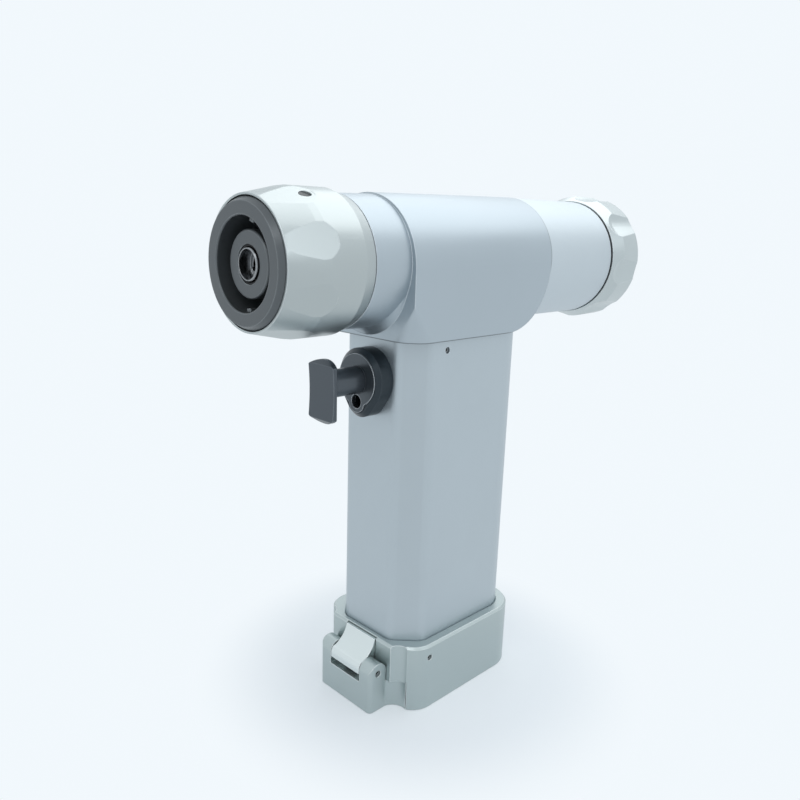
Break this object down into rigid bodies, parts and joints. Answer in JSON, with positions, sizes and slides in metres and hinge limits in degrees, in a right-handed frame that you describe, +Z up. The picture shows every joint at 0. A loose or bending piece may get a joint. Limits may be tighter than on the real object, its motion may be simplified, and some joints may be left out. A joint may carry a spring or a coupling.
{
  "type": "surgical power drill",
  "caption": "Pistol-grip battery surgical drill: metal head with a turning lock sleeve and drive socket in front, a scalloped knob behind, a sliding trigger and a hinged, latched battery lid.",
  "frame": {"origin": "on the table under the middle of the grip, on the lid's flat underside", "axes": "+Z up the grip, -Y out of the drive socket along the barrel, +X to the tool's left as its user holds it"},
  "size_m": [0.0508, 0.1803, 0.1854],
  "materials": {
    "satin_shell": "satin bead-blasted, clear anodised aluminium alloy",
    "machined_shell": "machined and clear anodised aluminium alloy",
    "collar_shell": "matt anodised aluminium alloy, greyer than the shells",
    "dark_anodised": "dark grey hard-coated metal",
    "ring_coat": "mid grey hard-coated metal",
    "bright_steel": "ground stainless steel",
    "spring_steel": "drawn spring wire",
    "gear_steel": "hobbed and hardened steel",
    "laminations": "varnished electrical steel",
    "winding": "enamelled copper wire",
    "magnet": "nickel-plated magnet",
    "seal_rubber": "black elastomer",
    "case_plastic": "black moulded plastic",
    "board": "green laminate with packaged components",
    "cell_steel": "plated steel cans"
  },
  "bodies": {
    "grip": {"head_housing": "satin_shell", "grip_housing": "satin_shell", "rear_barrel": "satin_shell", "coupling_ring": "ring_coat", "coupling_keys": "bright_steel", "nose_boss": "ring_coat", "spindle_seal": "seal_rubber", "spindle_front_bearing": "bright_steel", "spindle_rear_bearing": "bright_steel", "ring_gear": "gear_steel", "motor_front_bell": "machined_shell", "motor_rear_bell": "machined_shell", "motor_front_bearing": "bright_steel", "motor_rear_bearing": "bright_steel", "motor_stator": "laminations", "stator_windings": "winding", "sleeve_spring": "spring_steel", "rear_o_ring": "seal_rubber", "selector_switch": "case_plastic", "trigger_boss": "dark_anodised", "trigger_plate": "dark_anodised", "trigger_spring": "spring_steel", "battery_collar": "collar_shell", "hinge_pin": "bright_steel", "battery_case": "case_plastic", "battery_cells": "cell_steel", "battery_contacts": "winding", "contact_block": "case_plastic", "controller_board": "board", "sensor_board": "board", "grip_screws": "bright_steel", "collar_screws": "bright_steel"},
    "spindle": {"drive_spindle": "bright_steel", "planet_carrier": "gear_steel", "planet_pins": "bright_steel"},
    "rotor": {"motor_shaft": "bright_steel", "sun_gear": "gear_steel", "rotor_magnets": "magnet"},
    "planet_1": {"planet_gear_1": "gear_steel"},
    "planet_2": {"planet_gear_2": "gear_steel"},
    "planet_3": {"planet_gear_3": "gear_steel"},
    "lock_sleeve": {"lock_sleeve": "machined_shell"},
    "mode_knob": {"mode_knob": "machined_shell"},
    "trigger": {"trigger": "dark_anodised", "trigger_magnet": "magnet"},
    "lid": {"battery_lid": "collar_shell", "lid_gasket": "seal_rubber", "latch_pin": "bright_steel", "latch_spring": "spring_steel"},
    "latch": {"latch_lever": "machined_shell"}
  },
  "joints": [
    {"name": "spindle_spin", "type": "hinge", "parent": "grip", "child": "spindle", "pos_m": [0, -0.0781, 0.16], "axis": [0, -1, 0], "continuous": true},
    {"name": "rotor_spin", "type": "hinge", "parent": "grip", "child": "rotor", "pos_m": [0, 0, 0.16], "axis": [0, -1, 0], "continuous": true},
    {"name": "sleeve_turn", "type": "hinge", "parent": "grip", "child": "lock_sleeve", "pos_m": [0, -0.06, 0.16], "axis": [0, -1, 0], "range_deg": [0, 30], "stiffness_Nm_per_rad": 0.4},
    {"name": "knob_turn", "type": "hinge", "parent": "grip", "child": "mode_knob", "pos_m": [0, 0.09, 0.16], "axis": [0, -1, 0], "range_deg": [-45, 45]},
    {"name": "trigger_press", "type": "slide", "parent": "grip", "child": "trigger", "axis": [0, 1, 0], "range_m": [0, 0.007], "stiffness_N_per_m": 600, "springref_m": -0.003},
    {"name": "lid_swing", "type": "hinge", "parent": "grip", "child": "lid", "pos_m": [0, 0.03095, 0.0019], "axis": [1, 0, 0], "range_deg": [0, 100]},
    {"name": "latch_open", "type": "hinge", "parent": "lid", "child": "latch", "pos_m": [0, -0.03575, 0.0151], "axis": [1, 0, 0], "range_deg": [0, 75], "stiffness_Nm_per_rad": 0.02, "springref_deg": -11.46},
    {"name": "planet_1_spin", "type": "hinge", "parent": "spindle", "child": "planet_1", "pos_m": [0, -0.041, 0.1696], "axis": [0, -1, 0], "continuous": true},
    {"name": "planet_2_spin", "type": "hinge", "parent": "spindle", "child": "planet_2", "pos_m": [-0.00831, -0.041, 0.1552], "axis": [0, -1, 0], "continuous": true},
    {"name": "planet_3_spin", "type": "hinge", "parent": "spindle", "child": "planet_3", "pos_m": [0.00831, -0.041, 0.1552], "axis": [0, -1, 0], "continuous": true}
  ],
  "couplings": [
    {"joint": "rotor_spin", "follows": "spindle_spin", "ratio": 4},
    {"joint": "planet_1_spin", "follows": "spindle_spin", "ratio": -3},
    {"joint": "planet_2_spin", "follows": "spindle_spin", "ratio": -3},
    {"joint": "planet_3_spin", "follows": "spindle_spin", "ratio": -3}
  ]
}
